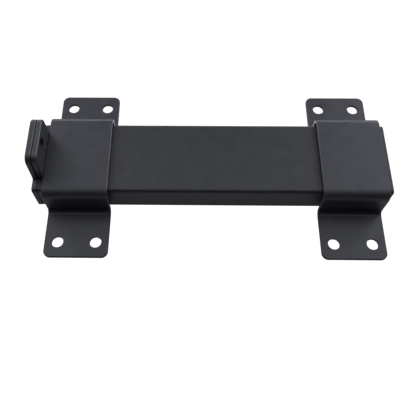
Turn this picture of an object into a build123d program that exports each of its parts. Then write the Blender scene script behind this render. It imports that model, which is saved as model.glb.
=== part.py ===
from build123d import *
from math import radians, tan
import os

# A sliding bolt. A box-section bar runs in two straps that are screwed down over it.
# The bar's end plate and an ear on the left strap share one padlock hole.
# Sizes are in millimetres. X runs along the bar, Y across it, and Z up from the mounting surface.

# Straps, folded from sheet into a hat section
sheet = 2.0
top_bend_inside_radius = 3.5
root_bend_inside_radius = 2.5
strap_width = 38.0
strap_pitch = 162.5
flange_length = 29.8
flange_corner_radius = 4.0

# Screw holes in the flanges, measured in from the sheet's edges
screw_hole_diameter = 7.0
screw_inset_along_bar = 7.75
screw_inset_across_bar = 9.55

# Bar, a rectangular tube
bar_width = 47.0
bar_height = 19.2
bar_wall = 1.5
bar_corner_radius = 2.2
keeper_reach = 3.0

# Room for the bar inside the straps
play_beside_bar = 2.25
play_above_bar = 0.9
play_under_bar = 0.3

# Padlock ears: the upper part of the bar's end plate, and a plate welded to the left strap
end_plate_thickness = 3.2
strap_ear_thickness = 3.2
stop_clearance = 0.3
ear_rise = 16.6
ear_top_width = 29.5
ear_side_angle = 3.0
ear_corner_radius = 4.5
ear_root_radius = 1.0
padlock_hole_diameter = 8.0
padlock_hole_drop = 6.5

# Edges broken by the punch and the paint
edge_break = 0.4

# Levels and widths that follow from the sizes above
bar_bottom = play_under_bar
bar_top = bar_bottom + bar_height
strap_inside_height = bar_top + play_above_bar
strap_height = strap_inside_height + sheet
strap_inside_width = bar_width + 2 * play_beside_bar
hat_width = strap_inside_width + 2 * sheet
flange_span = hat_width + 2 * flange_length
top_bend_outside_radius = top_bend_inside_radius + sheet
root_bend_outside_radius = root_bend_inside_radius + sheet
ear_top = strap_height + ear_rise
padlock_hole_height = ear_top - padlock_hole_drop

# Stations along X, set so that the origin lies below the middle of the closed bolt
straps_half_length = strap_pitch / 2 + strap_width / 2
left_reach = straps_half_length + strap_ear_thickness + stop_clearance + end_plate_thickness
right_reach = straps_half_length + keeper_reach
straps_middle = (left_reach - right_reach) / 2
left_strap_x = straps_middle - strap_pitch / 2
right_strap_x = straps_middle + strap_pitch / 2
strap_ear_face = left_strap_x - strap_width / 2
bar_left_end = strap_ear_face - strap_ear_thickness - stop_clearance
bar_right_end = straps_middle + right_reach


def hat_section():
    """The strap's folded section: two flanges, two legs and a top, as one sheet."""
    half_span = flange_span / 2
    half_hat = hat_width / 2
    half_inside = strap_inside_width / 2
    upper_side = [
        (-half_span, sheet),
        (-half_hat, sheet),
        (-half_hat, strap_height),
        (half_hat, strap_height),
        (half_hat, sheet),
        (half_span, sheet),
    ]
    under_side = [
        (-half_span, 0),
        (-half_inside, 0),
        (-half_inside, strap_inside_height),
        (half_inside, strap_inside_height),
        (half_inside, 0),
        (half_span, 0),
    ]
    upper_radii = [root_bend_inside_radius, top_bend_outside_radius]
    under_radii = [root_bend_outside_radius, top_bend_inside_radius]
    upper = FilletPolyline(*upper_side, radius=upper_radii + upper_radii[::-1])
    under = FilletPolyline(*under_side, radius=under_radii + under_radii[::-1])
    left_end = Line(upper @ 0, under @ 0)
    right_end = Line(upper @ 1, under @ 1)
    return Plane.YZ * make_face(upper.edges() + under.edges() + [left_end, right_end])


def screw_holes():
    """Four punches, two through each flange."""
    spacing_along_bar = strap_width - 2 * screw_inset_along_bar
    spacing_across_bar = flange_span - 2 * screw_inset_across_bar
    punch = Cylinder(screw_hole_diameter / 2, 3 * sheet)
    places = GridLocations(spacing_along_bar, spacing_across_bar, 2, 2)
    return [place * punch for place in places]


def strap():
    """One folded strap, centred on the origin, with rounded flange corners and broken edges."""
    body = extrude(hat_section(), strap_width / 2, both=True)
    upright = body.edges().filter_by(Axis.Z)
    corners = [edge for edge in upright if abs(edge.center().Y) > flange_span / 2 - sheet / 2]
    body = fillet(corners, flange_corner_radius)
    rims = body.edges().filter_by(is_sheet_rim)
    body = chamfer(rims, edge_break)
    return body - screw_holes()


def is_sheet_rim(edge):
    """True for an edge round the outline of the sheet's upper or under side."""
    middle = edge.position_at(0.5)
    at_side = abs(abs(middle.X) - strap_width / 2) < flange_corner_radius / 2
    at_end = abs(abs(middle.Y) - flange_span / 2) < flange_corner_radius / 2
    upright = abs(edge.tangent_at(0.5).Z) > 0.99 and at_end
    return (at_side or at_end) and not upright


def ear_half_width(height):
    """Half the ear's width at a height above the mounting surface."""
    return ear_top_width / 2 + (ear_top - height) * tan(radians(ear_side_angle))


def ear_outline(base_height):
    """A tapered ear from a base height to its rounded top corners."""
    half_base = ear_half_width(base_height)
    half_top = ear_half_width(ear_top)
    outline = Polyline(
        (-half_base, base_height),
        (half_base, base_height),
        (half_top, ear_top),
        (-half_top, ear_top),
        close=True,
    )
    face = make_face(outline)
    return fillet(face.vertices().group_by(Axis.Y)[-1], ear_corner_radius)


def padlock_hole():
    """The punch for the padlock hole, which runs through both ears."""
    punch_length = 2 * (left_reach - straps_half_length)
    punch = Cylinder(padlock_hole_diameter / 2, punch_length, rotation=(0, 90, 0))
    return Pos(strap_ear_face - strap_ear_thickness, 0, padlock_hole_height) * punch


def bar_section():
    """The bar's outer section at its height above the mounting surface."""
    section = RectangleRounded(bar_width, bar_height, bar_corner_radius)
    return Pos(0, (bar_bottom + bar_top) / 2) * section


def plate_from(outline, right_face, thickness):
    """A flat plate across the bar, with its edges broken and the padlock hole through its ear."""
    plate = extrude(Plane.YZ * outline, -thickness)
    rims = plate.edges() - plate.edges().filter_by(Axis.X)
    plate = chamfer(rims, edge_break)
    return Pos(right_face, 0, 0) * plate - padlock_hole()


def strap_ear():
    """The ear that stands on the left strap's outer edge, above the bar."""
    return plate_from(ear_outline(strap_inside_height), strap_ear_face, strap_ear_thickness)


def bolt_end_plate():
    """The plate that closes the bar's left end and rises into the bar's own ear."""
    outline = bar_section() + ear_outline(bar_top - bar_height / 2)
    roots = [
        vertex
        for vertex in outline.vertices()
        if abs(vertex.Y - bar_top) < edge_break and abs(vertex.X) < ear_half_width(bar_top) + edge_break
    ]
    outline = fillet(roots, ear_root_radius)
    return plate_from(outline, bar_left_end, end_plate_thickness)


def bolt_tube():
    """The bar itself: a box-section tube, open at its right end."""
    section = bar_section() - offset(bar_section(), -bar_wall)
    tube = Pos(bar_left_end, 0, 0) * extrude(Plane.YZ * section, bar_right_end - bar_left_end)
    ends = tube.faces().filter_by(Axis.X)
    rims = [edge for end in ends for edge in end.outer_wire().edges()]
    return chamfer(rims, edge_break)


parts = {
    "left_strap": Pos(left_strap_x, 0, 0) * strap(),
    "right_strap": Pos(right_strap_x, 0, 0) * strap(),
    "strap_ear": strap_ear(),
    "bolt_tube": bolt_tube(),
    "bolt_end_plate": bolt_end_plate(),
}

os.makedirs("parts", exist_ok=True)
for node, shape in parts.items():
    export_step(shape, f"parts/{node}.step")

print("bar from", round(bar_left_end, 2), "to", round(bar_right_end, 2))
print("straps at", round(left_strap_x, 2), "and", round(right_strap_x, 2), "flange span", flange_span)
print("padlock hole height", round(padlock_hole_height, 2), "ear top", round(ear_top, 2))
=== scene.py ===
from math import radians

import bpy
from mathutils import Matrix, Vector

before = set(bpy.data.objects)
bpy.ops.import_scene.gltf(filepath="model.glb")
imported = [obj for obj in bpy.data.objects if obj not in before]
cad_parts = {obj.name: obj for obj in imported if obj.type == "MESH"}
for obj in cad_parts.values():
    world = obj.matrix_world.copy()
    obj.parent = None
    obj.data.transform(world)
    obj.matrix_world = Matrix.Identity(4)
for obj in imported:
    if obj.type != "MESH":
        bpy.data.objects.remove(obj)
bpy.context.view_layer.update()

MM = 0.001

# Camera: it looks down on the bolt from in front, as the photograph does
IMAGE_SIDE = 416
SENSOR_WIDTH = 36.0
FOCAL_LENGTH = 46.25
OPTICAL_CENTRE_X = 184.0
CAMERA_LEFT_OF_STRAPS = 12.8 * MM
CAMERA_Y = -167.35 * MM
CAMERA_Z = 292.95 * MM
CAMERA_TILT = 26.02
CAMERA_ROLL = 0.67
CAMERA_TURN = 0.76
CLIP_START = 10 * MM
CLIP_END = 10.0

# Floor: its brightness as the camera sees it, and its grey and glow as it lights the bolt
FLOOR_SEEN = 1.1
FLOOR_GREY = 0.30
FLOOR_GLOW = 0.15
FLOOR_HALF_SIZE = 3.0
FLOOR_DROP = 0.1 * MM

# Room: its brightness as the camera sees it, and its glow on the bolt
ROOM_SEEN = 1.1
ROOM_GLOW = 0.002

# Coats, as linear colours
STRAP_COLOUR = (0.0278, 0.0285, 0.0325)
BAR_COLOUR = (0.0193, 0.0198, 0.0222)
# Sharp edges painted lighter: partly worn paint, partly a painted highlight
EDGE_WEAR_AND_HIGHLIGHT_COLOUR = (0.060, 0.062, 0.072)
RUBBED_COLOUR = (0.037, 0.038, 0.043)
# Painted highlight on the straps' far cut edges, standing in for a reflection
PAINTED_HIGHLIGHT_COLOUR = (0.55, 0.57, 0.62)

# Powder coat: a noise's scale is its number of features per metre, its detail the number of
# finer layers on it, and its range the values between which it fades in
ROUGHNESS = 0.40
ROUGHNESS_SPREAD = 0.03
ROUGHNESS_RANGE = (0.3, 0.7)
GRAIN_SCALE = 1400
GRAIN_DETAIL = 2
GRAIN_RANGE = (0.55, 0.75)
GRAIN_BRIGHTNESS = 1.6
GRAIN_SHARE = 0.25
PEEL_STRENGTH = 0.35
PEEL_DEPTH = 0.05 * MM
MOTTLING_SCALE = 120
MOTTLING_DETAIL = 4
MOTTLING_RANGE = (0.35, 0.65)
MOTTLING_SPREAD = 0.10

# Wear and painted highlight: rub marks that run along the bar, and sharp edges painted a little
# lighter, partly as worn paint and partly as a painted highlight
RUB_SCALES = (170, 650, 650)
RUB_DETAIL = 3
RUB_RANGE = (0.54, 0.72)
RUB_SHARE = 0.45
WEAR_AND_HIGHLIGHT_SCALE = 260
WEAR_AND_HIGHLIGHT_DETAIL = 3
WEAR_AND_HIGHLIGHT_RANGE = (0.35, 0.6)
WEAR_AND_HIGHLIGHT_LEAST = 0.05
WEAR_AND_HIGHLIGHT_MOST = 0.35
WEAR_AND_HIGHLIGHT_WIDTH = 0.6 * MM
EDGE_SAMPLES = 6
FLAT_LIKENESS = 0.995
EDGE_LIKENESS = 0.93

# Painted highlight, a pale colour on the straps' cut edges that stands in for a reflection: where
# it fades in on those edges, across the bar and upwards, and how squarely a face has to look along
# the bar to count as a cut edge
HIGHLIGHT_FROM_Y = 22.5 * MM
HIGHLIGHT_FULL_Y = 24.5 * MM
HIGHLIGHT_FROM_Z = 6 * MM
HIGHLIGHT_FULL_Z = 12 * MM
CUT_EDGE_RANGE = (0.85, 0.95)

# Softboxes, aimed at the origin: name, place, width and height in metres, and power in watts
LIGHT_COLOUR = (0.955, 0.975, 1.07)
LIGHTS = [
    ("overhead", (0, 0.35, 1.1), 1.5, 0.8, 3.6),
    ("front_top", (0, -0.30, 1.1), 1.5, 0.5, 1.2),
    ("backdrop", (0, 1.2, 0.18), 1.6, 0.36, 4.5),
    ("left_back", (-0.9, 0.9, 0.6), 0.5, 0.6, 7.0),
    ("left_side", (-0.95, 0.15, 0.8), 0.5, 0.6, 3.0),
    ("right_back", (0.9, 0.9, 0.6), 0.5, 0.6, 7.3),
    ("right_side", (0.95, 0.15, 0.8), 0.5, 0.6, 2.5),
    ("right_low", (1.2, 0.57, 0.30), 0.5, 0.4, 2.3),
]


# Camera
def straps_middle():
    """The X of the middle between the two straps."""
    edges = []
    for name in ("left_strap", "right_strap"):
        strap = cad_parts[name]
        edges += [(strap.matrix_world @ Vector(corner)).x for corner in strap.bound_box]
    return (min(edges) + max(edges)) / 2


def make_camera():
    """The scene's camera, at the photograph's place and angle."""
    data = bpy.data.cameras.new("camera")
    data.sensor_width = SENSOR_WIDTH
    data.lens = FOCAL_LENGTH
    data.shift_x = (IMAGE_SIDE / 2 - OPTICAL_CENTRE_X) / IMAGE_SIDE
    data.clip_start = CLIP_START
    data.clip_end = CLIP_END
    camera = bpy.data.objects.new("camera", data)
    camera.location = (straps_middle() - CAMERA_LEFT_OF_STRAPS, CAMERA_Y, CAMERA_Z)
    camera.rotation_euler = (radians(CAMERA_TILT), radians(CAMERA_ROLL), radians(CAMERA_TURN))
    bpy.context.scene.collection.objects.link(camera)
    bpy.context.scene.camera = camera


# Lights and floor
def softbox(name, place, width, height, power):
    """A soft rectangular light at a place, turned to face the origin."""
    data = bpy.data.lights.new(name, "AREA")
    data.shape = "RECTANGLE"
    data.size = width
    data.size_y = height
    data.energy = power
    data.color = LIGHT_COLOUR
    light = bpy.data.objects.new(name, data)
    light.location = place
    light.rotation_euler = (-Vector(place)).to_track_quat("-Z", "Y").to_euler()
    bpy.context.scene.collection.objects.link(light)


def make_room():
    """The room round the table: pale to look at, and too dim to light the bolt."""
    world = bpy.data.worlds.new("room")
    world.use_nodes = True
    nodes = world.node_tree.nodes
    links = world.node_tree.links
    dim = nodes["Background"]
    dim.inputs["Color"].default_value = (ROOM_GLOW, ROOM_GLOW, ROOM_GLOW, 1)
    seen = nodes.new("ShaderNodeBackground")
    seen.inputs["Color"].default_value = (ROOM_SEEN, ROOM_SEEN, ROOM_SEEN, 1)
    path = nodes.new("ShaderNodeLightPath")
    choice = nodes.new("ShaderNodeMixShader")
    links.new(path.outputs["Is Camera Ray"], choice.inputs[0])
    links.new(dim.outputs[0], choice.inputs[1])
    links.new(seen.outputs[0], choice.inputs[2])
    links.new(choice.outputs[0], nodes["World Output"].inputs["Surface"])
    bpy.context.scene.world = world


def make_floor():
    """A plain floor at the mounting surface: white to look at, and only a dim light on the bolt."""
    half = FLOOR_HALF_SIZE
    mesh = bpy.data.meshes.new("floor")
    corners = [(-half, -half, 0), (half, -half, 0), (half, half, 0), (-half, half, 0)]
    mesh.from_pydata(corners, [], [(0, 1, 2, 3)])
    floor = bpy.data.objects.new("floor", mesh)
    floor.location.z = -FLOOR_DROP
    bpy.context.scene.collection.objects.link(floor)
    material = bpy.data.materials.new("floor_white")
    material.use_nodes = True
    nodes = material.node_tree.nodes
    links = material.node_tree.links
    nodes.clear()
    seen = nodes.new("ShaderNodeEmission")
    seen.inputs["Strength"].default_value = FLOOR_SEEN
    lit = nodes.new("ShaderNodeBsdfDiffuse")
    lit.inputs["Color"].default_value = (FLOOR_GREY, FLOOR_GREY, FLOOR_GREY, 1)
    glow = nodes.new("ShaderNodeEmission")
    glow.inputs["Color"].default_value = (*LIGHT_COLOUR, 1)
    glow.inputs["Strength"].default_value = FLOOR_GLOW
    reflected = nodes.new("ShaderNodeAddShader")
    path = nodes.new("ShaderNodeLightPath")
    choice = nodes.new("ShaderNodeMixShader")
    out = nodes.new("ShaderNodeOutputMaterial")
    links.new(lit.outputs[0], reflected.inputs[0])
    links.new(glow.outputs[0], reflected.inputs[1])
    links.new(path.outputs["Is Camera Ray"], choice.inputs[0])
    links.new(reflected.outputs[0], choice.inputs[1])
    links.new(seen.outputs[0], choice.inputs[2])
    links.new(choice.outputs[0], out.inputs["Surface"])
    mesh.materials.append(material)


# Materials
class Shader:
    """A small helper that adds nodes to one material and links them."""

    # Sockets of the colour mix, which has several of one name
    MIX_SHARE, MIX_UNDER, MIX_OVER, MIX_RESULT = 0, 6, 7, 2

    def __init__(self, name):
        self.material = bpy.data.materials.new(name)
        self.material.use_nodes = True
        self.tree = self.material.node_tree
        self.surface = self.tree.nodes["Principled BSDF"]

    def add(self, kind, settings=None, **inputs):
        """A new node. Inputs are values, or other nodes' outputs to link."""
        node = self.tree.nodes.new(kind)
        for key, value in (settings or {}).items():
            setattr(node, key, value)
        for key, value in inputs.items():
            self.feed(node, key.replace("_", " "), value)
        return node

    def feed(self, node, socket, value):
        """Links an output to a node's input, or sets the input's own value."""
        if isinstance(value, bpy.types.NodeSocket):
            self.tree.links.new(value, node.inputs[socket])
        else:
            node.inputs[socket].default_value = value

    def noise(self, scale, detail=2.0, stretch=(1, 1, 1)):
        """Noise in the object's own metres. Stretch gives each axis its own scale."""
        place = self.add("ShaderNodeTexCoord").outputs["Object"]
        stretched = self.add("ShaderNodeMapping", Vector=place, Scale=stretch).outputs[0]
        noise = self.add("ShaderNodeTexNoise", Vector=stretched, Scale=scale, Detail=detail)
        return noise.outputs["Fac"]

    def ramp(self, value, low, high, start=0.0, end=1.0):
        """A value mapped from low..high to start..end, and held at the ends."""
        node = self.add("ShaderNodeMapRange", Value=value)
        node.inputs["From Min"].default_value = low
        node.inputs["From Max"].default_value = high
        node.inputs["To Min"].default_value = start
        node.inputs["To Max"].default_value = end
        return node.outputs["Result"]

    def product(self, first, second):
        """Two values multiplied."""
        node = self.add("ShaderNodeMath", {"operation": "MULTIPLY"})
        self.feed(node, 0, first)
        self.feed(node, 1, second)
        return node.outputs[0]

    def mix(self, share, under, over):
        """Two colours mixed by a share."""
        node = self.add("ShaderNodeMix", {"data_type": "RGBA"})
        self.feed(node, self.MIX_SHARE, share)
        for socket, colour in ((self.MIX_UNDER, under), (self.MIX_OVER, over)):
            linked = isinstance(colour, bpy.types.NodeSocket)
            self.feed(node, socket, colour if linked else (*colour, 1))
        return node.outputs[self.MIX_RESULT]

    def edges(self, radius):
        """1 along sharp outer and inner edges, 0 on flat faces."""
        rounded = self.add("ShaderNodeBevel", {"samples": EDGE_SAMPLES}, Radius=radius).outputs[0]
        plain = self.add("ShaderNodeNewGeometry").outputs["Normal"]
        dot = self.add("ShaderNodeVectorMath", {"operation": "DOT_PRODUCT"})
        self.feed(dot, 0, rounded)
        self.feed(dot, 1, plain)
        return self.ramp(dot.outputs["Value"], FLAT_LIKENESS, EDGE_LIKENESS)


def painted_highlight_mask(coat):
    """1 where the painted highlight goes, on the straps' cut edges round the far top bend, 0
    elsewhere.
    """
    object_place = coat.add("ShaderNodeTexCoord").outputs["Object"]
    place = coat.add("ShaderNodeSeparateXYZ", Vector=object_place)
    normal = coat.add("ShaderNodeNewGeometry").outputs["Normal"]
    facing = coat.add("ShaderNodeSeparateXYZ", Vector=normal)
    sideways = coat.product(facing.outputs["X"], facing.outputs["X"])
    far = coat.ramp(place.outputs["Y"], HIGHLIGHT_FROM_Y, HIGHLIGHT_FULL_Y)
    high = coat.ramp(place.outputs["Z"], HIGHLIGHT_FROM_Z, HIGHLIGHT_FULL_Z)
    cut = coat.ramp(sideways, *CUT_EDGE_RANGE)
    return coat.product(coat.product(cut, far), high)


def scaled(colour, factor):
    """A colour made darker or lighter."""
    return tuple(factor * channel for channel in colour)


def powder_coat(name, colour, rubbed=False, painted_highlight=False):
    """Satin black powder coat: fine peel, faint mottling, edges painted a little lighter as worn
    paint and as a painted highlight, and on the straps a painted highlight on the far cut edges.
    """
    coat = Shader(name)
    grain = coat.noise(GRAIN_SCALE, GRAIN_DETAIL)
    mottling = coat.noise(MOTTLING_SCALE, MOTTLING_DETAIL)
    dark = scaled(colour, 1 - MOTTLING_SPREAD)
    light = scaled(colour, 1 + MOTTLING_SPREAD)
    shade = coat.mix(coat.ramp(mottling, *MOTTLING_RANGE), dark, light)
    specks = coat.ramp(grain, *GRAIN_RANGE, 0, GRAIN_SHARE)
    shade = coat.mix(specks, shade, scaled(colour, GRAIN_BRIGHTNESS))
    if rubbed:
        marks = coat.ramp(coat.noise(1, RUB_DETAIL, RUB_SCALES), *RUB_RANGE, 0, RUB_SHARE)
        shade = coat.mix(marks, shade, RUBBED_COLOUR)
    # Sharp edges painted lighter in patches: partly worn paint, partly a painted highlight
    wear_and_highlight_noise = coat.noise(WEAR_AND_HIGHLIGHT_SCALE, WEAR_AND_HIGHLIGHT_DETAIL)
    wear_and_highlight_patches = coat.ramp(wear_and_highlight_noise, *WEAR_AND_HIGHLIGHT_RANGE, WEAR_AND_HIGHLIGHT_LEAST, WEAR_AND_HIGHLIGHT_MOST)
    wear_and_highlight = coat.product(coat.edges(WEAR_AND_HIGHLIGHT_WIDTH), wear_and_highlight_patches)
    shade = coat.mix(wear_and_highlight, shade, EDGE_WEAR_AND_HIGHLIGHT_COLOUR)
    # Painted highlight: a pale colour on the straps' far cut edges that stands in for a reflection
    if painted_highlight:
        shade = coat.mix(painted_highlight_mask(coat), shade, PAINTED_HIGHLIGHT_COLOUR)
    smoothest = ROUGHNESS - ROUGHNESS_SPREAD
    roughest = ROUGHNESS + ROUGHNESS_SPREAD
    coat.feed(coat.surface, "Base Color", shade)
    gloss = coat.ramp(mottling, *ROUGHNESS_RANGE, smoothest, roughest)
    coat.feed(coat.surface, "Roughness", gloss)
    peel = coat.add("ShaderNodeBump", Height=grain, Strength=PEEL_STRENGTH, Distance=PEEL_DEPTH)
    coat.feed(coat.surface, "Normal", peel.outputs[0])
    return coat.material


def dress(nodes, material):
    """Gives CAD nodes one material in all their slots."""
    for name in nodes:
        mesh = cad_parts[name].data
        if not mesh.materials:
            mesh.materials.append(material)
        for index in range(len(mesh.materials)):
            mesh.materials[index] = material


bpy.context.scene.view_settings.view_transform = "Standard"
make_camera()
make_room()
make_floor()
for light in LIGHTS:
    softbox(*light)
strap_coat = powder_coat("strap_coat", STRAP_COLOUR, painted_highlight=True)
bolt_coat = powder_coat("bolt_coat", BAR_COLOUR, rubbed=True)
dress(["left_strap", "right_strap", "strap_ear"], strap_coat)
dress(["bolt_tube", "bolt_end_plate"], bolt_coat)
